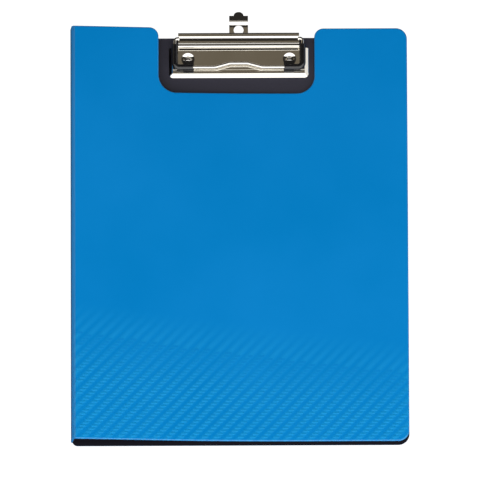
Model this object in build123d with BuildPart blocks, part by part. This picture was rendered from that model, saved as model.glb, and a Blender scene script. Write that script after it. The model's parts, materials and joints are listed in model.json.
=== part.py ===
from build123d import *
import os
from math import asin, atan2, cos, degrees, hypot, radians, sin, tan

os.makedirs("parts", exist_ok=True)

# A4 folder with a wire clip. It lies on its back: X across, Y towards the clip, Z up.
# The origin is the middle of the back board's rear face, and lengths are in mm.

# Plastic sheet, a coloured skin with a dark lining
skin_t = 1.2
lining_t = 0.8
sheet_t = skin_t + lining_t
half_t = sheet_t / 2
shoulder_r = 0.9
corner_r = 8.3
spine_corner_r = 4.2

# Back board
board_length = 313.7
board_right = 125.0
board_fold_x = -124.2
board_top = board_length / 2
board_bottom = -board_top
board_fold = (board_fold_x, half_t)

# Spine, which leans in a little towards the cover
spine_lean = 1.3
spine_rise = 12.5
cover_fold = (board_fold_x + spine_lean, half_t + spine_rise)
spine_width = hypot(spine_lean, spine_rise)
spine_angle = degrees(atan2(spine_rise, spine_lean))

# Cover, which slopes down from the spine and then lies flat over the board
cover_overhang = 6.8
cover_setback = 2.5
cover_top = board_top + cover_overhang
cover_bottom = board_bottom + cover_setback
cover_length = cover_top - cover_bottom
cover_mid_y = (cover_bottom + cover_top) / 2
cover_right = 125.0
cover_gap = 0.3
cover_slope = 5.2
cover_bend_r = 1150.0
cover_flat_z = sheet_t + cover_gap + half_t

# Folds: each sheet ends in a mitred edge just short of the fold line
fold_gap = 0.12
mitre_angle = 41.0
mitre_reach = 3.0

# Clip widths, which all follow the lever's
lever_half = 44.9
arm_clear = 2.5
arm_x = lever_half + arm_clear

# Clip base plate, a shallow tray standing face down on the board
plate_t = 0.8
tray_height = 1.9
tray_beside_arm = 4.4
tray_half_width = arm_x + tray_beside_arm
tray_front = 30.7
tray_rear = 5.2
tray_wall_run = 2.8
tray_slope = degrees(atan2(tray_wall_run, tray_height))
tray_corner_r = 3.2
tray_neck_inset = 2.4
tray_neck_half = lever_half - tray_neck_inset
tray_neck_front = 8.0
plate_top = sheet_t + tray_height
plate_under = plate_top - plate_t
wall_in = plate_t / cos(radians(tray_slope))
ridge_inset = 2.8
ridge_half_width = tray_half_width - ridge_inset
ridge_back = 26.1
ridge_front = 27.9
ridge_height = 0.4
ridge_bevel = 0.4
groove_at = 25.4
groove_width = 1.0
groove_depth = 0.35

# Rivets that hold the base plate to the board
rivet_inset = 9.7
rivet_x = arm_x - rivet_inset
rivet_from_top = 16.9
rivet_r = 1.6
rivet_hole_r = 1.62
dome_r = 2.5
dome_height = 0.9
dome_seat = 0.35
dome_sphere_r = (dome_r**2 + dome_height**2) / (2 * dome_height)
dome_latitude = degrees(asin((dome_sphere_r - dome_height) / dome_sphere_r))
dimple_r = 4.9
dimple_depth = 1.0
dimple_sphere_r = (dimple_r**2 + dimple_depth**2) / (2 * dimple_depth)
washer_r = 4.0
washer_t = 0.8
peen_r = 2.4
peen_t = 0.5

# Lever and its hinge pin
pin_from_top = 0.9
pin_z = 6.5
pin_r = 0.8
pin_inset = 0.1
pin_half = lever_half - pin_inset
pin_y = board_top - pin_from_top
knuckle_r = 1.5
knuckle_width = 10.0
knuckle_inset = 17.9
knuckle_x = lever_half - knuckle_inset
tongue_top_in = 1.4
tongue_top_drop = 0.4
tongue_low_in = 0.8
tongue_low_drop = 1.35
fit_gap = 0.05
lever_t = 0.8
ear_t = 0.8
lever_back = -1.64
lever_back_z = 6.2
lever_top_z = 9.5
shoulder_at = 1.0
shoulder_drop = 0.75
valley_at = 5.0
valley_z = 8.35
crest_at = 8.5
crest_z = 8.75
finger_at = 8.7
finger_low_z = 6.4
lever_radii = [0.8, 1.2, 0.8, 14.0, 0.9]
ear_low = 1.9
ear_wall = 0.65

# Wire bail, carried off centre in the lever's ears
bail_offset = 2.2
bail_angle = 125.0
bail_y = pin_y + bail_offset * cos(radians(bail_angle))
bail_z = pin_z + bail_offset * sin(radians(bail_angle))
wire_r = 1.2
tip_r = 1.0
ear_gap = 0.15
bar_from_top = 23.8
bar_z = 6.75
bail_plane = Plane(
    origin=(0, bail_y, bail_z),
    x_dir=(1, 0, 0),
    z_dir=(0, bail_z - bar_z, board_top - bar_from_top - bail_y),
)
arm_length = hypot(board_top - bar_from_top - bail_y, bar_z - bail_z)
arm_bend_r = 2.1
corner_bend_r = 3.4
bump_depth = 3.0
bump_foot_x = 17.5
bump_top_x = 6.5
bump_r = 7.0

# Black corner sleeves with flat pads
sleeve_r = 2.3
sleeve_fit = 0.03
sleeve_bore_r = wire_r + sleeve_fit
bore_past = 1.0
sleeve_start = 4.3
sleeve_reach = 13.6
sleeve_end_x = arm_x - sleeve_reach
pad_width = 7.8
pad_proud = 0.4
pad_x = sleeve_end_x - pad_proud + pad_width / 2
pad_back = 18.6
pad_front = 27.6
pad_low_z = 4.65
pad_high_z = 6.5

# Opening in the cover for the clip
window_beside = 6.05
window_below = 12.7
window_width = 2 * (tray_half_width + window_beside)
window_depth = cover_top - (board_top - tray_front - window_below)
window_x = -1.7
window_low_r = 13.5
window_top_r = 6.8

# Hanging loop, a strip that slides under the base plate
strip_half_width = 7.0
strip_t = 0.8
strip_gap = 0.1
strip_mid_z = sheet_t + strip_gap + strip_t / 2
strip_tail = 18.6
curl_start = 7.6
curl_r = 12.5
curl_angle = 20.0
lip_bend_r = 3.0
lip_angle = -22.0
lip_neck = 3.3
tongue_r = 3.65
lip_length = lip_neck + tongue_r
hole_r = 3.7
hole_above_top = 6.0
slide_length = 6.0
stop_r = 1.2
stop_from_top = 14.0
slot_gap = 0.2


def down(distance):
    """Y of a point this far below the board's top edge."""
    return board_top - distance


def board_outline(height):
    """Plan of the back board at this height, up to its fold line."""
    width = board_right - board_fold_x
    with BuildSketch(Plane.XY.offset(height)) as outline:
        with Locations((board_fold_x + width / 2, 0)):
            Rectangle(width, board_length)
        fillet(outline.vertices().group_by(Axis.X)[-1], radius=corner_r)
        fillet(outline.vertices().group_by(Axis.X)[0], radius=spine_corner_r)
    return outline.sketch


def cover_outline():
    """Plan of the cover, with its opening for the clip."""
    left = cover_fold[0]
    width = cover_right - left
    with BuildSketch() as outline:
        with Locations((left + width / 2, cover_mid_y)):
            Rectangle(width, cover_length)
        fillet(outline.vertices().group_by(Axis.X)[-1], radius=corner_r)
        with Locations((window_x, cover_top - window_depth / 2)):
            Rectangle(window_width, window_depth, mode=Mode.SUBTRACT)
        corners = outline.vertices().filter_by_position(
            Axis.X, window_x - window_width, window_x + window_width * 0.55
        )
        fillet(corners.group_by(Axis.Y)[-1], radius=window_top_r)
        lower = outline.vertices().filter_by_position(
            Axis.Y, cover_top - window_depth - 1, cover_top - window_depth + 1
        )
        fillet(lower, radius=window_low_r)
    return outline.sketch


def cover_line(offset_up):
    """The cover's bent line in section, moved out from its middle by this much."""
    slope = radians(cover_slope)
    run = (cover_fold[1] - cover_flat_z) / tan(slope)
    start = (cover_fold[0] + offset_up * sin(slope), cover_fold[1] + offset_up * cos(slope))
    bend = (cover_fold[0] + run + offset_up * tan(slope / 2), cover_flat_z + offset_up)
    end = (cover_right, cover_flat_z + offset_up)
    return FilletPolyline(start, bend, end, radius=cover_bend_r - offset_up)


def cover_section(low, high):
    """Section of one ply of the cover between two offsets."""
    with BuildSketch(Plane.XZ) as section:
        with BuildLine():
            lower_line = cover_line(low)
            upper_line = cover_line(high)
            Line(lower_line @ 0, upper_line @ 0)
            Line(lower_line @ 1, upper_line @ 1)
        make_face()
    return section.sketch


def cut_mitre(fold, angle):
    """Cut back a sheet that leaves the fold line at this angle."""
    reach = fold_gap + mitre_reach / tan(radians(mitre_angle))
    corners = [
        (fold_gap, 0),
        (reach, mitre_reach),
        (-mitre_reach, mitre_reach),
        (-mitre_reach, -mitre_reach),
        (reach, -mitre_reach),
    ]
    with BuildSketch(Plane.XZ) as cutter:
        with Locations(Location((fold[0], fold[1], 0), (0, 0, angle))):
            Polygon(*corners, align=None)
    extrude(cutter.sketch, amount=cover_length, both=True, mode=Mode.SUBTRACT)


def spine_section(low, high):
    """Section of one ply of the spine between two offsets."""
    with BuildSketch(Plane.XZ) as section:
        with Locations(Location((board_fold[0], board_fold[1], 0), (0, 0, spine_angle))):
            with Locations((0, low)):
                Rectangle(spine_width, high - low, align=(Align.MIN, Align.MIN))
    return section.sketch


def trim_to_cover_length():
    """Keep the stretch of the part that is as long as the cover."""
    with Locations((cover_fold[0], cover_mid_y, 0)):
        Box(cover_length, cover_length, cover_length, mode=Mode.INTERSECT)


def outer_rim(piece):
    """Edges round the cover's outer face, apart from those between its bends."""
    outer = piece.faces().filter_by(lambda face: face.normal_at().Z > 0.9)
    rim = ShapeList()
    for edge in outer.edges():
        if sum(edge in face.edges() for face in outer) == 1:
            rim.append(edge)
    return rim


def strip_curve():
    """Middle line of the hanging loop's strip, from its tail to the tip of its lip."""
    flat = Line((down(strip_tail), strip_mid_z), (board_top + curl_start, strip_mid_z))
    curl = JernArc(flat @ 1, flat % 1, radius=curl_r, arc_size=curl_angle)
    bend = JernArc(curl @ 1, curl % 1, radius=lip_bend_r, arc_size=lip_angle - curl_angle)
    Line(bend @ 1, (bend @ 1) + (bend % 1) * lip_length)
    return (bend @ 1).X, (bend @ 1).Y


def lever_curve():
    """Middle line of the lever's pressed sheet, from its back edge to its finger edge."""
    points = [
        (down(lever_back), lever_back_z),
        (down(lever_back), lever_top_z),
        (down(shoulder_at), lever_top_z),
        (down(shoulder_at + shoulder_drop), lever_top_z - shoulder_drop),
        (down(valley_at), valley_z),
        (down(crest_at), crest_z),
        (down(finger_at), finger_low_z),
    ]
    return FilletPolyline(*points, radius=lever_radii)


def knuckle():
    """A base plate tongue that ends in a ring round the hinge pin."""
    with BuildSketch(Plane.YZ) as section:
        with Locations((pin_y, pin_z)):
            Circle(knuckle_r)
        Polygon(
            (pin_y - tongue_top_in, pin_z - tongue_top_drop),
            (down(tray_rear + plate_t), plate_top),
            (down(tray_rear + plate_t), plate_under),
            (pin_y - tongue_low_in, pin_z - tongue_low_drop),
            align=None,
        )
        with Locations((pin_y, pin_z)):
            Circle(pin_r, mode=Mode.SUBTRACT)
    return extrude(section.sketch, amount=knuckle_width / 2, both=True, mode=Mode.PRIVATE)


def bail_line():
    """Half of the bail's wire, from the lever's ear to the middle of its bar."""
    bar_v = arm_length
    bump_v = arm_length - bump_depth
    points = [
        (lever_half + ear_gap, 0),
        (arm_x, 0),
        (arm_x, bar_v),
        (bump_foot_x, bar_v),
        (bump_top_x, bump_v),
        (0, bump_v),
    ]
    return FilletPolyline(*points, radius=[arm_bend_r, corner_bend_r, bump_r, bump_r])


def sleeve_line(past):
    """Middle line of a sleeve, down the arm and along the bar, and this far past its ends."""
    points = [
        (arm_x, sleeve_start - past),
        (arm_x, arm_length),
        (sleeve_end_x - past, arm_length),
    ]
    return FilletPolyline(*points, radius=[corner_bend_r])


def rivet_places(height):
    """Both rivet axes, at this height."""
    return [(-rivet_x, down(rivet_from_top), height), (rivet_x, down(rivet_from_top), height)]


def drill(places, radius):
    """Holes right through the part at these places."""
    with Locations(*places):
        Cylinder(radius, 6 * sheet_t, mode=Mode.SUBTRACT)


standing = (Align.CENTER, Align.CENTER, Align.MIN)

# Back board
with BuildPart() as back_panel:
    extrude(board_outline(0), amount=skin_t)
    fillet(back_panel.faces().sort_by(Axis.Z)[0].edges(), radius=shoulder_r)
    cut_mitre(board_fold, 0)
    drill(rivet_places(0), rivet_hole_r)
    with Locations(*rivet_places(0)):
        Cylinder(washer_r, washer_t, align=standing, mode=Mode.SUBTRACT)
back_panel.part.label = "back_panel"
export_step(back_panel.part, "parts/back_panel.step")

with BuildPart() as back_lining:
    extrude(board_outline(skin_t), amount=lining_t)
    cut_mitre(board_fold, 0)
    drill(rivet_places(0), rivet_hole_r)
back_lining.part.label = "back_lining"
export_step(back_lining.part, "parts/back_lining.step")

# Spine
with BuildPart() as spine_panel:
    extrude(spine_section(lining_t - half_t, half_t), amount=cover_length, both=True)
    trim_to_cover_length()
    cut_mitre(board_fold, spine_angle)
    cut_mitre(cover_fold, spine_angle + 180)
spine_panel.part.label = "spine_panel"
export_step(spine_panel.part, "parts/spine_panel.step")

with BuildPart() as spine_lining:
    extrude(spine_section(-half_t, lining_t - half_t), amount=cover_length, both=True)
    trim_to_cover_length()
    cut_mitre(board_fold, spine_angle)
    cut_mitre(cover_fold, spine_angle + 180)
spine_lining.part.label = "spine_lining"
export_step(spine_lining.part, "parts/spine_lining.step")

# Cover
with BuildPart() as cover_panel:
    extrude(cover_section(lining_t - half_t, half_t), amount=cover_length, both=True)
    extrude(cover_outline(), amount=cover_length, both=True, mode=Mode.INTERSECT)
    fillet(outer_rim(cover_panel), radius=shoulder_r)
    cut_mitre(cover_fold, -cover_slope)
cover_panel.part.label = "cover_panel"
export_step(cover_panel.part, "parts/cover_panel.step")

with BuildPart() as cover_lining:
    extrude(cover_section(-half_t, lining_t - half_t), amount=cover_length, both=True)
    extrude(cover_outline(), amount=cover_length, both=True, mode=Mode.INTERSECT)
    cut_mitre(cover_fold, -cover_slope)
cover_lining.part.label = "cover_lining"
export_step(cover_lining.part, "parts/cover_lining.step")

# Clip base plate
with BuildPart() as clip_base_plate:
    with BuildSketch(Plane.XY.offset(sheet_t)) as tray:
        with Locations((0, down(tray_front))):
            Rectangle(2 * tray_half_width, tray_front, align=(Align.CENTER, Align.MIN))
        fillet(tray.vertices().group_by(Axis.Y)[0], radius=tray_corner_r)
    extrude(tray.sketch, amount=tray_height, taper=tray_slope)
    with BuildSketch(Plane.YZ) as ridge:
        Polygon(
            (down(ridge_front), plate_top - ridge_bevel),
            (down(ridge_front - ridge_bevel), plate_top + ridge_height),
            (down(ridge_back + ridge_bevel), plate_top + ridge_height),
            (down(ridge_back), plate_top - ridge_bevel),
            align=None,
        )
    extrude(ridge.sketch, amount=ridge_half_width, both=True)
    with BuildSketch(Plane.YZ) as groove:
        with Locations((down(groove_at), plate_top)):
            Rectangle(groove_width, 2 * groove_depth)
    extrude(groove.sketch, amount=ridge_half_width, both=True, mode=Mode.SUBTRACT)
    with BuildSketch(Plane.XY.offset(sheet_t)) as hollow:
        with Locations((0, down(tray_front - wall_in))):
            Rectangle(
                2 * (tray_half_width - wall_in),
                tray_front + wall_in,
                align=(Align.CENTER, Align.MIN),
            )
        fillet(hollow.vertices().group_by(Axis.Y)[0], radius=tray_corner_r - wall_in)
    extrude(hollow.sketch, amount=tray_height - plate_t, taper=tray_slope, mode=Mode.SUBTRACT)
    with BuildSketch(Plane.XY.offset(sheet_t)) as rear_cut:
        with Locations((0, down(tray_rear))):
            Rectangle(3 * tray_half_width, tray_front, align=(Align.CENTER, Align.MIN))
        with Locations((tray_neck_half, down(tray_neck_front))):
            Rectangle(tray_half_width, tray_front, align=(Align.MIN, Align.MIN))
        with Locations((-tray_neck_half, down(tray_neck_front))):
            Rectangle(tray_half_width, tray_front, align=(Align.MAX, Align.MIN))
    extrude(rear_cut.sketch, amount=tray_height, mode=Mode.SUBTRACT)
    with Locations((-knuckle_x, 0, 0), (knuckle_x, 0, 0)):
        add(knuckle())
    with Locations(*rivet_places(sheet_t)):
        Cylinder(dimple_r, tray_height - plate_t / 2, align=standing)
    with Locations(*rivet_places(plate_top - dimple_depth + dimple_sphere_r)):
        Sphere(dimple_sphere_r, mode=Mode.SUBTRACT)
    drill(rivet_places(sheet_t), rivet_hole_r)
    with Locations((0, down(stop_from_top), sheet_t)):
        Cylinder(stop_r, tray_height - plate_t / 2, align=standing)
clip_base_plate.part.label = "clip_base_plate"
export_step(clip_base_plate.part, "parts/clip_base_plate.step")

# Rivets, and the washers behind the board that they are peened over
with BuildPart() as clip_rivets:
    with Locations(*rivet_places(0)):
        Cylinder(rivet_r, plate_top - dimple_depth + dome_seat, align=standing)
        Cone(peen_r, rivet_r, peen_t, align=standing)
    with Locations(*rivet_places(plate_top - dimple_depth + dome_seat + dome_height - dome_sphere_r)):
        Sphere(dome_sphere_r, arc_size1=dome_latitude, arc_size2=90, align=None)
clip_rivets.part.label = "clip_rivets"
export_step(clip_rivets.part, "parts/clip_rivets.step")

with BuildPart() as rivet_washers:
    with Locations(*rivet_places(0)):
        Cylinder(washer_r, washer_t, align=standing)
    drill(rivet_places(0), rivet_hole_r)
    with Locations(*rivet_places(0)):
        Cone(peen_r, rivet_r, peen_t, align=standing, mode=Mode.SUBTRACT)
rivet_washers.part.label = "rivet_washers"
export_step(rivet_washers.part, "parts/rivet_washers.step")

# Hinge pin
with BuildPart() as hinge_pin:
    with Locations((0, pin_y, pin_z)):
        Cylinder(pin_r, 2 * pin_half, rotation=(0, 90, 0))
hinge_pin.part.label = "hinge_pin"
export_step(hinge_pin.part, "parts/hinge_pin.step")

# Lever, a pressed strip with an ear at each end
with BuildPart() as clip_lever:
    with BuildSketch(Plane.YZ) as lever_section:
        with BuildLine() as lever_line:
            lever_curve()
        trace(lever_line.line, line_width=lever_t)
    extrude(lever_section.sketch, amount=lever_half, both=True)
    with BuildSketch(Plane.YZ) as ear:
        with BuildLine():
            ear_top = lever_curve()
            Polyline(ear_top @ 1, (pin_y, pin_z - ear_low), ear_top @ 0)
        make_face()
        with Locations((bail_y, bail_z)):
            Circle(tip_r + fit_gap + ear_wall)
            Circle(tip_r + fit_gap, mode=Mode.SUBTRACT)
        with Locations((pin_y, pin_z)):
            Circle(pin_r + fit_gap, mode=Mode.SUBTRACT)
    with Locations((-lever_half, 0, 0), (lever_half - ear_t, 0, 0)):
        add(extrude(ear.sketch, amount=ear_t, mode=Mode.PRIVATE))
    with Locations((-lever_half, bail_y, bail_z), (lever_half, bail_y, bail_z)):
        Cylinder(tip_r + fit_gap, 2 * ear_t, rotation=(0, 90, 0), mode=Mode.SUBTRACT)
clip_lever.part.label = "clip_lever"
export_step(clip_lever.part, "parts/clip_lever.step")

# Wire bail
with BuildPart() as wire_bail:
    with BuildLine(bail_plane) as wire_path:
        bail_line()
    with BuildSketch(Plane(origin=wire_path.line @ 0, z_dir=wire_path.line % 0)):
        Circle(wire_r)
    sweep(path=wire_path.line)
    with Locations((lever_half + ear_gap, bail_y, bail_z)):
        Cylinder(tip_r, 2 * (ear_t + ear_gap), rotation=(0, 90, 0))
    mirror(about=Plane.YZ)
wire_bail.part.label = "wire_bail"
export_step(wire_bail.part, "parts/wire_bail.step")

# Corner sleeves
with BuildPart() as right_corner_sleeve:
    with BuildLine(bail_plane) as sleeve_path:
        sleeve_line(0)
    with BuildSketch(Plane(origin=sleeve_path.line @ 0, z_dir=sleeve_path.line % 0)):
        Circle(sleeve_r)
    sweep(path=sleeve_path.line)
    with Locations((pad_x, down((pad_back + pad_front) / 2), pad_low_z)):
        Box(pad_width, pad_front - pad_back, pad_high_z - pad_low_z, align=standing)
    with BuildLine(bail_plane) as bore_path:
        sleeve_line(bore_past)
    with BuildSketch(Plane(origin=bore_path.line @ 0, z_dir=bore_path.line % 0)):
        Circle(sleeve_bore_r)
    sweep(path=bore_path.line, mode=Mode.SUBTRACT)
right_corner_sleeve.part.label = "right_corner_sleeve"
export_step(right_corner_sleeve.part, "parts/right_corner_sleeve.step")

with BuildPart() as left_corner_sleeve:
    mirror(right_corner_sleeve.part, about=Plane.YZ)
left_corner_sleeve.part.label = "left_corner_sleeve"
export_step(left_corner_sleeve.part, "parts/left_corner_sleeve.step")

# Hanging loop, a strip with one wave in it and a round tongue
with BuildPart() as hanging_loop:
    with BuildSketch(Plane.YZ) as strip_section:
        with BuildLine() as strip_line:
            lip_foot = strip_curve()
        trace(strip_line.line, line_width=strip_t)
    extrude(strip_section.sketch, amount=strip_half_width, both=True)
    lip_rise = radians(lip_angle)
    lip_plane = Plane(
        origin=(0, lip_foot[0], lip_foot[1]),
        x_dir=(1, 0, 0),
        z_dir=(0, -sin(lip_rise), cos(lip_rise)),
    )
    with BuildSketch(lip_plane) as lip_waste:
        with Locations((0, lip_neck)):
            Rectangle(4 * strip_half_width, 2 * lip_length, align=(Align.CENTER, Align.MIN))
            Circle(tongue_r, mode=Mode.SUBTRACT)
    extrude(lip_waste.sketch, amount=2 * strip_t, both=True, mode=Mode.SUBTRACT)
    with Locations((0, board_top + hole_above_top, strip_mid_z)):
        Cylinder(hole_r, 2 * strip_t, mode=Mode.SUBTRACT)
    with BuildSketch(Plane.XY.offset(strip_mid_z)) as slot:
        with Locations((0, down(stop_from_top) + slide_length / 2)):
            SlotCenterToCenter(slide_length, 2 * (stop_r + slot_gap), rotation=90)
    extrude(slot.sketch, amount=strip_t, both=True, mode=Mode.SUBTRACT)
hanging_loop.part.label = "hanging_loop"
export_step(hanging_loop.part, "parts/hanging_loop.step")
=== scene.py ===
import json
import math

import bmesh
import bpy
from mathutils import Matrix, Vector


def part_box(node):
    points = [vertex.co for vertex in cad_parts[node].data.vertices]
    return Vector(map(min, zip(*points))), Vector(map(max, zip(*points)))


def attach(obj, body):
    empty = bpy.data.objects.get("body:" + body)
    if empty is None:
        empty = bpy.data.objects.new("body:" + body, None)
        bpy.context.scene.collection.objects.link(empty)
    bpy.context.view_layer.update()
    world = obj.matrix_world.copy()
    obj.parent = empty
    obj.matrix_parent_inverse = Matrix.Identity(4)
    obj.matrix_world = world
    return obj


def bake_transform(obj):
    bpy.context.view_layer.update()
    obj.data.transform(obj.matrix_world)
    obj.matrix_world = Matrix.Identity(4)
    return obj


bl_info = {
    "name": "Clipboard folder",
    "version": (1, 0, 0),
    "blender": (4, 5, 0),
    "location": "3D View > Sidebar > Folder",
    "description": "Dresses the clipboard folder's frame: folds, embossing, finishes and the stage",
    "category": "Object",
}

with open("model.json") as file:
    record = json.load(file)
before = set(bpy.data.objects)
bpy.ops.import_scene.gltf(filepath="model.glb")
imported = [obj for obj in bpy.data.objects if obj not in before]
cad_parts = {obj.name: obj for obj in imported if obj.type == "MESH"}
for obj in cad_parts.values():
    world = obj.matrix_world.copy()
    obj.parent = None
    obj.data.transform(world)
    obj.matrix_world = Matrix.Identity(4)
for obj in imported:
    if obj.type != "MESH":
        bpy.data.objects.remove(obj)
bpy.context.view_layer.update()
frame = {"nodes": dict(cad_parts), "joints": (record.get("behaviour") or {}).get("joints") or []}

MM = 0.001
SCREEN_GAMMA = 2.2
WHITE = (1.0, 1.0, 1.0)


def joint_place(name):
    """Where a joint of the frame stands, in metres."""
    for joint in frame["joints"]:
        if joint["name"] == name:
            return Vector(joint["pos_m"])
    raise RuntimeError(f"the frame has no joint {name}")


BOARD_FOLD = joint_place("spine_fold")
COVER_FOLD = joint_place("cover_fold")
COVER_LOW, COVER_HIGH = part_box("cover_panel")
BOARD_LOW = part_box("back_panel")[0]

# Finishes: the middle part of a noise's range, in which most of its values lie
MIDDLE = (0.3, 0.7)
# how far a face looks up, from a sheet's cut side to its shoulder and from there to its flat
SIDE_TO_SHOULDER = (0.35, 0.6)
SHOULDER_TO_FLAT = (0.85, 0.985)
PLASTIC_IOR = 1.46
VINYL_IOR = 1.5
# painted highlight blue of the weave and the dashes: red added, then factors for green and blue
WEAVE_HIGHLIGHT = (0.01, 1.3, 1.08)
DASH_HIGHLIGHT = (0.006, 1.27, 1.06)
WEAVE_RISE = 8 * MM  # how far the weave goes up past the dashes' fade line
WEAVE_SPAN = 0.5  # its fade's length, as a share of the dashes'
# share by which the painted highlight lightens the twill
WEAVE_HIGHLIGHT_LIFT = 0.34
WEAVE_DEPTH = 0.05 * MM
# above its lower rim a lining has painted shadow, dark and dull up to the first height and gone
# from the second
RIM_SHADOW_NEAR, RIM_SHADOW_FAR = 4 * MM, 9 * MM

# Embossing: a dash's rings from its foot up, as shares of its width and height
DASH_RINGS = ((1.0, -0.3), (0.86, 0.45), (0.62, 0.88), (0.3, 1.0))
DASH_STEPS = 4  # facets round each end of a dash
DASH_UNEVEN = {"Min": 0.86, "Max": 1.0}  # random share of a dash's height
DASH_SEED = 7
FADE_START = 0.2  # where the first dashes rise below the fade line, as a share of its span
FAINTEST = 0.04  # dashes lower than this share are left out
DROP_START, DROP_LENGTH = 50 * MM, 100 * MM  # from that height the dashes drop on the cover
FEWEST_FACES = 1000  # that the whole embossing can have

# Folds
COVER_SLOPE = math.radians(5.2)
WEB_INSET = 5 * MM  # from the spine's ends
WEB_BEND = 0.9 * MM  # where the bend begins, from the fold line
WEB_STEPS = 12

# Stage: a floor of that reach and room below the folded-back cover
FLOOR_REACH = 6.0
FLOOR_ROOM = 2 * MM
FLOOR_GLOW = 1.16
FLOOR_DIM = 0.2
# lights as name, centre, direction, width, height and radiance, with lengths in metres
SOFTBOXES = (
    ("softbox_over", (0.0, -0.917, 1.31), (0.0, 0.573, -0.819), 4.4, 2.24, 1.9),
    ("softbox_front", (0.0, -1.84, 0.34), (0.0, 1.0, -0.05), 4.4, 0.66, 1.9),
    ("softbox_right", (1.9, 0.1, 0.7), (-1.0, 0.0, -0.37), 2.2, 0.8, 1.0),
    ("softbox_rear", (0.1, 0.775, 1.4), (0.0, -0.484, -0.875), 1.4, 0.11, 0.8),
)
WARM_PANELS = (
    ("panel_over", (0.0, 0.58, 1.52), (0.0, -0.31, -0.95), 2.0, 0.26, 0.145),
    ("panel_left", (-1.9, 0.3, 0.75), (1.0, -0.16, -0.4), 1.6, 0.9, 0.5),
)
# the camera stands far off with a long lens, because the photograph shows little perspective
CAMERA_TARGET = Vector((0.4 * MM, 1.4 * MM, 0.0))
CAMERA_ELEVATION = math.radians(74.0)
CAMERA_ROLL = math.radians(0.23)
CAMERA_DISTANCE = 13.83
CAMERA_CLIP = (1.0, 40.0)
LENS, SENSOR = 1400.0, 36.0  # in mm


# Settings


def measure(name, description, value):
    """A length property, with its default in millimetres."""
    return bpy.props.FloatProperty(
        name=name, description=description, default=value * MM, unit="LENGTH"
    )


def tint(name, description, value):
    """A colour property, with its default as a linear colour."""
    return bpy.props.FloatVectorProperty(
        name=name, description=description, default=value, subtype="COLOR"
    )


def linear(red, green, blue):
    """Screen values from 0 to 255 as a linear colour."""
    return tuple((value / 255) ** SCREEN_GAMMA for value in (red, green, blue))


class FolderSizes(bpy.types.PropertyGroup):
    """Lengths of the pieces that this script adds."""

    dash_length: measure("Dash length", "Length of one embossed dash", 4.8)
    dash_width: measure("Dash width", "Width of one embossed dash", 1.7)
    dash_height: measure("Dash height", "Height of a fully raised dash", 0.11)
    dash_pitch: measure("Dash pitch", "Distance between dashes in a row", 8.8)
    row_pitch: measure("Row pitch", "Distance between rows of dashes", 2.3)
    row_shift: measure("Row shift", "How far each row is shifted along the one below it", 2.2)
    dash_margin: measure("Dash margin", "From the cover's edges to the nearest dashes", 3.0)
    fade_left: measure("Fade at left", "Height of the embossing at the fold", 98)
    fade_right: measure("Fade at right", "Height of the embossing at the free edge", 68)
    fade_span: measure("Fade span", "Distance over which the dashes grow", 54)
    web_thickness: measure("Fold thickness", "Thickness of the sheet in a fold", 0.5)
    web_reach: measure("Fold reach", "How far a fold reaches into each sheet", 2.4)


class FolderColours(bpy.types.PropertyGroup):
    """Colours of the finishes, as they show under the studio light."""

    blue: tint("Blue", "Outside of the folder", linear(0, 129, 202))
    black: tint("Black", "Inside of the folder", linear(49, 48, 59))
    nickel: tint("Nickel", "Clip, rivets and hanging loop", (0.78, 0.75, 0.69))
    sleeve: tint("Sleeve", "Corner sleeves", (0.005, 0.005, 0.006))
    room: tint("Room", "Dim light all round the stage", (0.03, 0.028, 0.026))
    warm: tint("Warm panels", "Dim panels over and beside the clip", (1.0, 0.85, 0.61))
    floor: tint("Floor", "Floor under the folder", (0.86, 0.86, 0.86))


def sizes():
    """The size settings of this scene."""
    return bpy.context.scene.folder_sizes


def colours():
    """The colour settings of this scene."""
    return bpy.context.scene.folder_colours


# Objects and meshes


def placed(name, data):
    """A new object in the scene."""
    obj = bpy.data.objects.new(name, data)
    bpy.context.scene.collection.objects.link(obj)
    return obj


def paint(obj, material):
    """Give an object one material."""
    obj.data.materials.clear()
    obj.data.materials.append(material)


def bridge(shape, rings):
    """Faces between each ring of corners and the next."""
    for first, second in zip(rings, rings[1:]):
        for a in range(len(first)):
            b = (a + 1) % len(first)
            shape.faces.new((first[a], first[b], second[b], second[a]))


def closed(shape, name):
    """A bmesh turned into a mesh, with its faces looking outwards."""
    bmesh.ops.recalc_face_normals(shape, faces=shape.faces)
    mesh = bpy.data.meshes.new(name)
    shape.to_mesh(mesh)
    shape.free()
    return mesh


# Node trees


class Graph:
    """A node tree under construction, with short calls for its nodes."""

    def __init__(self, tree):
        self.tree = tree
        self.nodes = tree.nodes

    def feed(self, socket, value):
        """Link an output to a socket, or set the socket's value."""
        if isinstance(value, bpy.types.NodeSocket):
            self.tree.links.new(value, socket)
        else:
            socket.default_value = value

    def add(self, kind, settings=None, **inputs):
        """A node with its settings and its inputs, which are values or other nodes' outputs."""
        node = self.nodes.new(kind)
        for key, value in (settings or {}).items():
            setattr(node, key, value)
        for key, value in inputs.items():
            self.feed(node.inputs[key.replace("_", " ")], value)
        return node

    def math(self, operation, *numbers, clamp=False):
        """A Math node's output."""
        node = self.add("ShaderNodeMath", {"operation": operation, "use_clamp": clamp})
        for socket, value in zip(node.inputs, numbers):
            self.feed(socket, value)
        return node.outputs[0]


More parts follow.
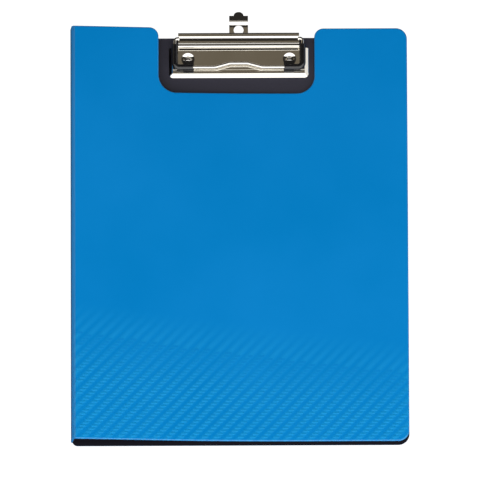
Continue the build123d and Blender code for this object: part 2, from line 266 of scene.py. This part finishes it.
class Finish(Graph):
    """A material on the principled shader."""

    def __init__(self, name):
        self.material = bpy.data.materials.new(name)
        self.material.use_nodes = True
        super().__init__(self.material.node_tree)
        self.shader = self.nodes["Principled BSDF"]

    def place(self, kind="Object"):
        """Coordinates of that kind."""
        return self.add("ShaderNodeTexCoord").outputs[kind]

    def axes(self, kind="Object"):
        """Coordinates of that kind, as separate X, Y and Z."""
        return self.add("ShaderNodeSeparateXYZ", Vector=self.place(kind)).outputs

    def noise(self, scale, detail=2.0, roughness=0.5, vector=None):
        """A noise pattern's value, at so many cells to the metre."""
        where = self.place() if vector is None else vector
        return self.add(
            "ShaderNodeTexNoise", Vector=where, Scale=scale, Detail=detail, Roughness=roughness
        ).outputs["Fac"]

    def spread(self, value, low, high, start=0.0, end=1.0):
        """A value moved from the range of start and end to that of low and high."""
        node = self.add("ShaderNodeMapRange")
        for socket, number in zip(node.inputs, (value, start, end, low, high)):
            self.feed(socket, number)
        return node.outputs["Result"]

    def mix(self, share, first, second):
        """Two colours mixed."""
        node = self.add("ShaderNodeMix", {"data_type": "RGBA"})
        self.feed(node.inputs[0], share)
        self.feed(node.inputs[6], first)
        self.feed(node.inputs[7], second)
        return node.outputs[2]

    def bump(self, height, depth, strength=1.0, normal=None):
        """A bumped normal, with its depth in metres."""
        node = self.add("ShaderNodeBump", Strength=strength, Distance=depth, Height=height)
        if normal is not None:
            self.feed(node.inputs["Normal"], normal)
        return node.outputs["Normal"]

    def set(self, **values):
        """The material, with the shader's own sockets set."""
        for key, value in values.items():
            self.feed(self.shader.inputs[key.replace("_", " ")], value)
        return self.material


class Tree(Graph):
    """A Geometry Nodes tree with named inputs."""

    def __init__(self, name):
        super().__init__(bpy.data.node_groups.new(name, "GeometryNodeTree"))
        self.tree.interface.new_socket(
            name="Geometry", in_out="OUTPUT", socket_type="NodeSocketGeometry"
        )
        self.entry = self.nodes.new("NodeGroupInput")
        self.exit = self.nodes.new("NodeGroupOutput")
        self.values = {}

    def input(self, name, kind, value):
        """A named input with the value that the modifier gives it."""
        socket = self.tree.interface.new_socket(
            name=name, in_out="INPUT", socket_type=f"NodeSocket{kind}"
        )
        self.values[socket.identifier] = value
        return self.entry.outputs[name]

    def mesh(self, name, obj):
        """The tree's result on an object, as a plain mesh."""
        modifier = obj.modifiers.new(name, "NODES")
        modifier.node_group = self.tree
        for identifier, value in self.values.items():
            modifier[identifier] = value
        graph = bpy.context.evaluated_depsgraph_get()
        made = bpy.data.meshes.new_from_object(obj.evaluated_get(graph), depsgraph=graph)
        obj.modifiers.remove(modifier)
        made.name = name
        return made


# Finishes


def rgba(colour):
    """A colour as a socket value."""
    return (colour[0], colour[1], colour[2], 1.0)


def shade(colour, gain, lift=0.0):
    """A colour made lighter or darker, as a socket value."""
    return rgba([part * gain + lift for part in colour])


def lit(colour, light):
    """A colour with red added and its green and blue multiplied, as a socket value."""
    red, green, blue = light
    return rgba((colour[0] + red, colour[1] * green, colour[2] * blue))


def edge_shine(finish, flat, shoulder, side):
    """Specular level of a sheet, for its flat faces, its rounded shoulders and its cut sides."""
    level = finish.math("ABSOLUTE", finish.axes("Normal")["Z"])
    upper = finish.spread(level, shoulder, flat, *SHOULDER_TO_FLAT)
    lower = finish.spread(level, 0.0, shoulder - side, *SIDE_TO_SHOULDER)
    return finish.math("SUBTRACT", upper, finish.math("SUBTRACT", shoulder - side, lower))


def twill(finish, colour, normal):
    """A colour and a normal with the cover's faint diagonal twill, in step with the dashes: the
    relief is a bump, the lighter blue a painted highlight.
    """
    limits = sizes()
    axes = finish.axes()
    line = finish.spread(
        axes["X"],
        COVER_LOW.y + limits.fade_left + WEAVE_RISE,
        COVER_LOW.y + limits.fade_right + WEAVE_RISE,
        COVER_LOW.x,
        COVER_HIGH.x,
    )
    below = finish.math("SUBTRACT", line, axes["Y"])
    share = finish.spread(below, 0.0, 1.0, 0.0, WEAVE_SPAN * limits.fade_span)
    lean = limits.row_shift / limits.row_pitch
    start = COVER_LOW.x - (COVER_LOW.y + limits.dash_margin) * lean
    sheared = finish.math("MULTIPLY_ADD", axes["Y"], -lean, axes["X"])
    across = finish.math("SUBTRACT", sheared, start)
    wave = finish.math("COSINE", finish.math("MULTIPLY", across, math.tau / limits.dash_pitch))
    weave = finish.math("MULTIPLY", wave, share)
    # painted highlight: the blue is lightened along the twill's stripes and over the whole faded
    # band
    level = finish.math("MULTIPLY", share, WEAVE_HIGHLIGHT_LIFT)
    lift = finish.math("MULTIPLY_ADD", weave, WEAVE_HIGHLIGHT_LIFT, level, clamp=True)
    lighter = finish.mix(lift, colour, lit(colours().blue, WEAVE_HIGHLIGHT))
    return lighter, finish.bump(weave, WEAVE_DEPTH, normal=normal)


def blue_finish(name, with_twill=False):
    """Satin coloured plastic with a fine grain, and on the cover with its twill."""
    finish = Finish(name)
    tone = colours().blue
    cloud = finish.spread(finish.noise(9.0, detail=3.0, roughness=0.55), 0.15, 0.6, *MIDDLE)
    colour = finish.mix(cloud, shade(tone, 0.93), shade(tone, 1.1, 0.006))
    grain = finish.noise(2600.0, detail=2.0, roughness=0.6)
    fine = finish.noise(420.0, detail=4.0, roughness=0.65)
    height = finish.math("MULTIPLY_ADD", fine, 0.6, grain)
    normal = finish.bump(height, 0.012 * MM, strength=0.55)
    if with_twill:
        colour, normal = twill(finish, colour, normal)
    return finish.set(
        Base_Color=colour,
        Roughness=finish.spread(fine, 0.3, 0.4, *MIDDLE),
        Specular_IOR_Level=edge_shine(finish, flat=0.03, shoulder=1.0, side=0.25),
        IOR=PLASTIC_IOR,
        Normal=normal,
    )


def dash_finish(name):
    """The cover's plastic on a raised dash, with a painted highlight that makes it lighter as the
    dash stands higher.
    """
    finish = Finish(name)
    tone = colours().blue
    fade = finish.add("ShaderNodeAttribute", {"attribute_name": "fade"}).outputs["Fac"]
    cloud = finish.noise(300.0, detail=3.0, roughness=0.6)
    # painted highlight: the dash's blue is lightened in step with its height
    share = finish.math("MULTIPLY", finish.spread(cloud, 0.75, 1.0, *MIDDLE), fade)
    return finish.set(
        Base_Color=finish.mix(share, rgba(tone), lit(tone, DASH_HIGHLIGHT)),
        Roughness=finish.spread(cloud, 0.32, 0.42, *MIDDLE),
        Specular_IOR_Level=0.12,
        IOR=PLASTIC_IOR,
        Normal=finish.bump(finish.noise(2600.0), 0.01 * MM, strength=0.5),
    )


def black_finish(name, rim=None):
    """Black grained plastic with tiny pale specks, with painted shadow, dark and dull, along a rim
    if its Y is given.
    """
    finish = Finish(name)
    tone = colours().black
    grain = finish.noise(1500.0, detail=4.0, roughness=0.7)
    cloud = finish.spread(grain, 0.0, 1.0, start=0.34, end=0.66)
    colour = finish.mix(cloud, shade(tone, 0.86), shade(tone, 1.16, 0.001))
    cells = finish.add(
        "ShaderNodeTexVoronoi", {"feature": "F1"}, Vector=finish.place(), Scale=420.0
    ).outputs["Distance"]
    speck = finish.spread(cells, 0.5, 0.0, start=0.0, end=0.16)
    colour = finish.mix(speck, colour, shade(tone, 2.1, 0.01))
    shine = edge_shine(finish, flat=0.4, shoulder=0.4, side=0.03)
    # painted shadow of the gap under the cover: towards the rim the black darkens to a fifth and
    # its shine drops
    if rim is not None:
        out_of_shadow = finish.spread(finish.axes()["Y"], 0.12, 1.0, rim + RIM_SHADOW_NEAR, rim + RIM_SHADOW_FAR)
        shine = finish.math("MULTIPLY", shine, out_of_shadow)
        colour = finish.mix(out_of_shadow, shade(tone, 0.2), colour)
    return finish.set(
        Base_Color=colour,
        Roughness=finish.spread(grain, 0.46, 0.62, *MIDDLE),
        Specular_IOR_Level=shine,
        IOR=PLASTIC_IOR,
        Normal=finish.bump(grain, 0.03 * MM, strength=0.6),
    )


def nickel_finish(name, roughness):
    """Polished nickel plate with faint drawn streaks along X and small ripples."""
    finish = Finish(name)
    tone = colours().nickel
    stretch = finish.add(
        "ShaderNodeMapping", {"vector_type": "POINT"}, Vector=finish.place(), Scale=(0.06, 1.0, 1.0)
    ).outputs["Vector"]
    drawn = finish.noise(1400.0, detail=3.0, roughness=0.6, vector=stretch)
    ripple = finish.noise(120.0, detail=2.0, roughness=0.5)
    smudge = finish.noise(55.0, detail=3.0, roughness=0.6)
    cloud = finish.spread(smudge, 0.0, 1.0, *MIDDLE)
    soft = finish.bump(ripple, 0.02 * MM, strength=0.6)
    return finish.set(
        Base_Color=finish.mix(cloud, shade(tone, 0.93), rgba(tone)),
        Metallic=1.0,
        Roughness=finish.spread(smudge, roughness, roughness + 0.05, *MIDDLE),
        Normal=finish.bump(drawn, 0.003 * MM, strength=0.6, normal=soft),
    )


def sleeve_finish(name):
    """Soft glossy black vinyl with faint moulding ripples."""
    finish = Finish(name)
    tone = colours().sleeve
    ripple = finish.noise(330.0, detail=3.0, roughness=0.55)
    dust = finish.noise(1800.0, detail=2.0, roughness=0.6)
    cloud = finish.spread(dust, 0.0, 1.0, start=0.45, end=0.75)
    rounded = finish.add("ShaderNodeBevel", {"samples": 6}, Radius=0.55 * MM).outputs["Normal"]
    return finish.set(
        Base_Color=finish.mix(cloud, rgba(tone), shade(tone, 2.4)),
        Roughness=finish.spread(ripple, 0.1, 0.22, *MIDDLE),
        Specular_IOR_Level=0.65,
        IOR=VINYL_IOR,
        Normal=finish.bump(ripple, 0.05 * MM, strength=0.5, normal=rounded),
    )


FINISHES = {
    "back_panel": "blue_plastic",
    "spine_panel": "blue_plastic",
    "cover_panel": "blue_twill",
    # the back lining's finish has painted shadow along its lower rim
    "back_lining": "black_back",
    "spine_lining": "black_plastic",
    "cover_lining": "black_plastic",
    "clip_base_plate": "nickel_plate",
    "hinge_pin": "nickel_plate",
    "clip_rivets": "nickel_plate",
    "rivet_washers": "nickel_plate",
    "clip_lever": "nickel_plate",
    "hanging_loop": "nickel_plate",
    "wire_bail": "nickel_wire",
    "left_corner_sleeve": "black_sleeve",
    "right_corner_sleeve": "black_sleeve",
}


class FOLDER_OT_finishes(bpy.types.Operator):
    """Paint the frame's own pieces with the folder's plastics and metals"""

    bl_idname = "folder.finishes"
    bl_label = "Finishes"

    def execute(self, context):
        made = {
            "blue_plastic": blue_finish("blue_plastic"),
            "blue_twill": blue_finish("blue_twill", with_twill=True),
            "black_plastic": black_finish("black_plastic"),
            # the back lining gets painted shadow along its lower rim
            "black_back": black_finish("black_back", rim=BOARD_LOW.y),
            "nickel_plate": nickel_finish("nickel_plate", roughness=0.05),
            "nickel_wire": nickel_finish("nickel_wire", roughness=0.1),
            "black_sleeve": sleeve_finish("black_sleeve"),
        }
        for node, finish in FINISHES.items():
            paint(frame["nodes"][node], made[finish])
        return {"FINISHED"}


# Embossing


def dash_shape(length, width, height):
    """One raised dash as a small mesh with rounded ends, whose foot lies a little below z 0."""
    radius = width / 2
    run = length / 2 - radius
    outline = []
    for side in (1, -1):
        for step in range(DASH_STEPS + 1):
            turn = math.pi * (step / DASH_STEPS - 0.5) * side
            outline.append((side * run + radius * math.cos(turn) * side, radius * math.sin(turn)))
    shape = bmesh.new()
    rings = [
        [
            shape.verts.new((x - math.copysign(radius * (1 - share), x), y * share, rise * height))
            for x, y in outline
        ]
        for share, rise in DASH_RINGS
    ]
    bridge(shape, rings)
    shape.faces.new(rings[-1])
    mesh = closed(shape, "dash_shape")
    mesh.shade_smooth()
    return mesh


def embossing_tree(dash, material):
    """Dashes in shifted rows, dropped on the cover and fading out upwards."""
    limits = sizes()
    tree = Tree("embossing")
    cover = tree.input("Cover", "Object", frame["nodes"]["cover_panel"])
    shape = tree.input("Dash", "Object", dash)
    pitch = tree.input("Pitch", "Float", limits.dash_pitch)
    row = tree.input("Row pitch", "Float", limits.row_pitch)
    lean = tree.input("Row shift", "Float", limits.row_shift)
    left = tree.input("Left", "Float", COVER_LOW.x)
    right = tree.input("Right", "Float", COVER_HIGH.x)
    low = tree.input("Lower edge", "Float", COVER_LOW.y)
    fade_left = tree.input("Fade at left", "Float", limits.fade_left)
    fade_right = tree.input("Fade at right", "Float", limits.fade_right)
    span = tree.input("Fade span", "Float", limits.fade_span)
    margin = tree.input("Margin", "Float", limits.dash_margin)
    seed = tree.input("Seed", "Int", DASH_SEED)
    finish = tree.input("Finish", "Material", material)
    columns = math.ceil((COVER_HIGH.x - COVER_LOW.x) / limits.dash_pitch) + 1
    rows = math.ceil(limits.fade_left / limits.row_pitch)

    # where each dash starts, in rows above the cover
    points = tree.add("GeometryNodePoints", Count=columns * rows)
    index = tree.add("GeometryNodeInputIndex").outputs["Index"]
    along = tree.math("FLOOR", tree.math("DIVIDE", index, columns))
    across = tree.math("SUBTRACT", index, tree.math("MULTIPLY", along, columns))
    shift = tree.math("FLOORED_MODULO", tree.math("MULTIPLY", along, lean), pitch)
    x = tree.math("ADD", tree.math("MULTIPLY_ADD", across, pitch, left), shift)
    y = tree.math("ADD", tree.math("MULTIPLY_ADD", along, row, low), margin)
    start = tree.add("ShaderNodeCombineXYZ", X=x, Y=y, Z=DROP_START).outputs["Vector"]
    spread = tree.add("GeometryNodeSetPosition", Geometry=points.outputs[0], Position=start)

    # where it lands, straight below
    shown = tree.add("GeometryNodeObjectInfo", {"transform_space": "ORIGINAL"}, Object=cover)
    ray = tree.add(
        "GeometryNodeRaycast",
        {"data_type": "FLOAT"},
        Target_Geometry=shown.outputs["Geometry"],
        Ray_Direction=(0.0, 0.0, -1.0),
        Ray_Length=DROP_LENGTH,
    )

    # how high it is, from its distance below a fade line that falls from left to right
    place = tree.add("GeometryNodeInputPosition").outputs[0]
    axes = tree.add("ShaderNodeSeparateXYZ", Vector=place).outputs
    width = tree.math("SUBTRACT", right, left)
    share = tree.math("DIVIDE", tree.math("SUBTRACT", axes["X"], left), width)
    drop = tree.math("SUBTRACT", fade_right, fade_left)
    line = tree.math("ADD", tree.math("MULTIPLY_ADD", share, drop, fade_left), low)
    below = tree.math("DIVIDE", tree.math("SUBTRACT", line, axes["Y"]), span)
    fade = tree.add(
        "ShaderNodeMapRange",
        {"interpolation_type": "SMOOTHSTEP"},
        Value=below,
        From_Min=FADE_START,
    ).outputs["Result"]
    uneven = tree.add("FunctionNodeRandomValue", {"data_type": "FLOAT"}, Seed=seed)
    for socket in uneven.inputs:
        if socket.type == "VALUE" and socket.name in DASH_UNEVEN:
            socket.default_value = DASH_UNEVEN[socket.name]
    random = next(out for out in uneven.outputs if out.type == "VALUE")
    height = tree.math("MULTIPLY", fade, random)

    # which are left out: past the margins, too faint, or beside the cover
    past_left = tree.math("LESS_THAN", axes["X"], tree.math("ADD", left, margin))
    past_right = tree.math("GREATER_THAN", axes["X"], tree.math("SUBTRACT", right, margin))
    faint = tree.math("LESS_THAN", fade, FAINTEST)
    missed = tree.math("SUBTRACT", 1.0, ray.outputs["Is Hit"])
    doubt = tree.math(
        "ADD", tree.math("ADD", past_left, past_right), tree.math("ADD", faint, missed)
    )
    gone = tree.math("GREATER_THAN", doubt, 0.5)

    # the height and the cover's normal, kept with each point while it moves
    kept_height = tree.add(
        "GeometryNodeStoreNamedAttribute",
        {"data_type": "FLOAT", "domain": "POINT"},
        Geometry=spread.outputs["Geometry"],
        Name="fade",
        Value=height,
    )
    kept_normal = tree.add(
        "GeometryNodeStoreNamedAttribute",
        {"data_type": "FLOAT_VECTOR", "domain": "POINT"},
        Geometry=kept_height.outputs["Geometry"],
        Name="rise",
        Value=ray.outputs["Hit Normal"],
    )
    cut = tree.add(
        "GeometryNodeDeleteGeometry",
        {"domain": "POINT"},
        Geometry=kept_normal.outputs["Geometry"],
        Selection=gone,
    )
    seated = tree.add(
        "GeometryNodeSetPosition",
        Geometry=cut.outputs["Geometry"],
        Position=ray.outputs["Hit Position"],
    )

    # the dashes themselves
    rise = tree.add("GeometryNodeInputNamedAttribute", {"data_type": "FLOAT_VECTOR"}, Name="rise")
    turn = tree.add(
        "FunctionNodeAlignRotationToVector", {"axis": "Z"}, Vector=rise.outputs["Attribute"]
    )
    stored = tree.add("GeometryNodeInputNamedAttribute", {"data_type": "FLOAT"}, Name="fade")
    scale = tree.add("ShaderNodeCombineXYZ", X=1.0, Y=1.0, Z=stored.outputs["Attribute"])
    unit = tree.add("GeometryNodeObjectInfo", {"transform_space": "ORIGINAL"}, Object=shape)
    copies = tree.add(
        "GeometryNodeInstanceOnPoints",
        Points=seated.outputs["Geometry"],
        Instance=unit.outputs["Geometry"],
        Rotation=turn.outputs["Rotation"],
        Scale=scale.outputs["Vector"],
    )
    real = tree.add("GeometryNodeRealizeInstances", Geometry=copies.outputs["Instances"])
    painted = tree.add(
        "GeometryNodeSetMaterial", Material=finish, Geometry=real.outputs["Geometry"]
    )
    tree.feed(tree.exit.inputs[0], painted.outputs["Geometry"])
    return tree


class FOLDER_OT_embossing(bpy.types.Operator):
    """Emboss the lower cover with rows of short dashes that fade out upwards"""

    bl_idname = "folder.embossing"
    bl_label = "Embossing"

    def execute(self, context):
        limits = sizes()
        shape = dash_shape(limits.dash_length, limits.dash_width, limits.dash_height)
        dash = placed("dash", shape)
        carrier = placed("carrier", bpy.data.meshes.new("carrier"))
        tree = embossing_tree(dash, dash_finish("blue_dash"))
        mesh = tree.mesh("cover_embossing", carrier)
        bpy.data.objects.remove(dash)
        bpy.data.objects.remove(carrier)
        if len(mesh.polygons) < FEWEST_FACES:
            raise RuntimeError("the embossing has too few dashes")
        piece = placed("cover_embossing", mesh)
        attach(piece, "cover")
        return {"FINISHED"}


# Folds


def web_mesh(name, fold, first, second, low, high):
    """A thin bent strip along a fold, from one sheet to the next."""
    limits = sizes()
    half = limits.web_thickness / 2
    first, second = first.normalized(), second.normalized()
    start, end = fold + first * WEB_BEND, fold + second * WEB_BEND
    line = [fold + first * limits.web_reach]
    for step in range(WEB_STEPS + 1):
        share = step / WEB_STEPS
        line.append(start.lerp(fold, share).lerp(fold.lerp(end, share), share))
    line.append(fold + second * limits.web_reach)
    shape = bmesh.new()
    rows = []
    for place, point in enumerate(line):
        before = line[max(place - 1, 0)]
        after = line[min(place + 1, len(line) - 1)]
        along = (after - before).normalized()
        side = Vector((along.z, 0.0, -along.x)) * half
        rows.append([
            shape.verts.new((point.x + side.x * sign, y, point.z + side.z * sign))
            for sign, y in ((1, low), (1, high), (-1, high), (-1, low))
        ])
    bridge(shape, rows)
    shape.faces.new(rows[0])
    shape.faces.new(rows[-1])
    return closed(shape, name)


class FOLDER_OT_folds(bpy.types.Operator):
    """Join the three sheets with thin bent strips in the two folds"""

    bl_idname = "folder.folds"
    bl_label = "Folds"

    def execute(self, context):
        spine_low, spine_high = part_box("spine_panel")
        low, high = spine_low.y + WEB_INSET, spine_high.y - WEB_INSET
        board_way = Vector((1.0, 0.0, 0.0))
        spine_way = (COVER_FOLD - BOARD_FOLD).normalized()
        cover_way = Vector((math.cos(COVER_SLOPE), 0.0, -math.sin(COVER_SLOPE)))
        material = blue_finish("blue_fold")
        folds = (
            ("board_fold_web", "board", "spine", BOARD_FOLD, board_way, spine_way),
            ("cover_fold_web", "spine", "cover", COVER_FOLD, -spine_way, cover_way),
        )
        for name, first, second, fold, first_way, second_way in folds:
            piece = placed(name, web_mesh(name, fold, first_way, second_way, low, high))
            paint(piece, material)
            # the strip passes from one sheet to the other within 0.7 mm of the fold line
            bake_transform(piece)
        return {"FINISHED"}


# Stage


def floor_finish():
    """Pale matt floor that shows no shadow, and throws little light back under the folder."""
    finish = Finish("studio_floor")
    tone = colours().floor
    low = shade(tone, FLOOR_DIM)
    cloud = finish.noise(3.0, detail=2.0, roughness=0.5)
    finish.set(
        Base_Color=low,
        Roughness=0.9,
        Specular_IOR_Level=0.0,
        Emission_Color=finish.mix(cloud, rgba(tone), shade(tone, 1.03)),
        Emission_Strength=FLOOR_GLOW,
    )
    path = finish.add("ShaderNodeLightPath")
    dim = finish.add("ShaderNodeBsdfDiffuse", Color=low)
    pick = finish.add("ShaderNodeMixShader")
    finish.feed(pick.inputs[0], path.outputs["Is Camera Ray"])
    finish.feed(pick.inputs[1], dim.outputs[0])
    finish.feed(pick.inputs[2], finish.shader.outputs[0])
    finish.feed(finish.nodes["Material Output"].inputs["Surface"], pick.outputs[0])
    return finish.material


def studio_world():
    """A dim room that is white to the camera."""
    world = bpy.data.worlds.new("studio")
    world.use_nodes = True
    graph = Graph(world.node_tree)
    dim = graph.nodes["Background"]
    graph.feed(dim.inputs["Color"], rgba(colours().room))
    pale = graph.add("ShaderNodeBackground", Color=rgba(WHITE))
    path = graph.add("ShaderNodeLightPath")
    pick = graph.add("ShaderNodeMixShader")
    graph.feed(pick.inputs[0], path.outputs["Is Camera Ray"])
    graph.feed(pick.inputs[1], dim.outputs[0])
    graph.feed(pick.inputs[2], pale.outputs[0])
    graph.feed(graph.nodes["World Output"].inputs["Surface"], pick.outputs[0])
    return world


def softbox(name, centre, facing, width, height, strength, colour=WHITE):
    """A rectangular area light of that radiance, level along its width, that no camera sees."""
    light = bpy.data.lights.new(name, "AREA")
    light.color = colour
    light.shape = "RECTANGLE"
    light.size = width
    light.size_y = height
    light.energy = strength * math.pi * width * height
    obj = placed(name, light)
    obj.rotation_mode = "QUATERNION"
    obj.location = centre
    obj.rotation_quaternion = Vector(facing).to_track_quat("-Z", "Y")
    obj.visible_camera = False


def studio_camera():
    """A camera in front of the folder and well above it, that looks down at it."""
    camera = placed("camera", bpy.data.cameras.new("camera"))
    camera.data.lens = LENS
    camera.data.sensor_width = SENSOR
    camera.data.clip_start, camera.data.clip_end = CAMERA_CLIP
    back = Vector((0.0, -math.cos(CAMERA_ELEVATION), math.sin(CAMERA_ELEVATION)))
    aim = (-back).to_track_quat("-Z", "Y")
    camera.rotation_mode = "QUATERNION"
    camera.location = CAMERA_TARGET + back * CAMERA_DISTANCE
    camera.rotation_quaternion = aim @ Matrix.Rotation(-CAMERA_ROLL, 4, "Z").to_quaternion()
    return camera


class FOLDER_OT_stage(bpy.types.Operator):
    """Set out the floor, the soft light and the camera"""

    bl_idname = "folder.stage"
    bl_label = "Stage"

    def execute(self, context):
        # low enough to leave room for the cover when it is folded right round behind the board
        level = BOARD_FOLD.z - 2 * (COVER_FOLD.z - BOARD_FOLD.z) - FLOOR_ROOM
        sides = ((-1, -1), (1, -1), (1, 1), (-1, 1))
        corners = [(x * FLOOR_REACH, y * FLOOR_REACH, level) for x, y in sides]
        floor = placed("studio_floor", bpy.data.meshes.new("studio_floor"))
        floor.data.from_pydata(corners, [], [(0, 1, 2, 3)])
        paint(floor, floor_finish())

        for light in SOFTBOXES:
            softbox(*light)
        for light in WARM_PANELS:
            softbox(*light, colour=colours().warm)
        context.scene.world = studio_world()
        context.scene.camera = studio_camera()
        context.scene.view_settings.view_transform = "Standard"
        return {"FINISHED"}


class FOLDER_PT_sidebar(bpy.types.Panel):
    """The folder's settings and steps"""

    bl_idname = "FOLDER_PT_sidebar"
    bl_label = "Clipboard folder"
    bl_space_type = "VIEW_3D"
    bl_region_type = "UI"
    bl_category = "Folder"

    def draw(self, context):
        for group in (sizes(), colours()):
            column = self.layout.column()
            for name in group.__annotations__:
                column.prop(group, name)
        for step in STEPS:
            self.layout.operator(step.bl_idname)


STEPS = (FOLDER_OT_finishes, FOLDER_OT_embossing, FOLDER_OT_folds, FOLDER_OT_stage)
CLASSES = (FolderSizes, FolderColours, *STEPS, FOLDER_PT_sidebar)


def register():
    """Register the classes and their settings."""
    for item in CLASSES:
        bpy.utils.register_class(item)
    bpy.types.Scene.folder_sizes = bpy.props.PointerProperty(type=FolderSizes)
    bpy.types.Scene.folder_colours = bpy.props.PointerProperty(type=FolderColours)


def unregister():
    """Take the classes and their settings away again."""
    del bpy.types.Scene.folder_colours
    del bpy.types.Scene.folder_sizes
    for item in reversed(CLASSES):
        bpy.utils.unregister_class(item)


def main():
    """Register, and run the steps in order."""
    register()
    bpy.ops.folder.finishes()
    bpy.ops.folder.embossing()
    bpy.ops.folder.folds()
    bpy.ops.folder.stage()


if __name__ == "__main__":
    main()
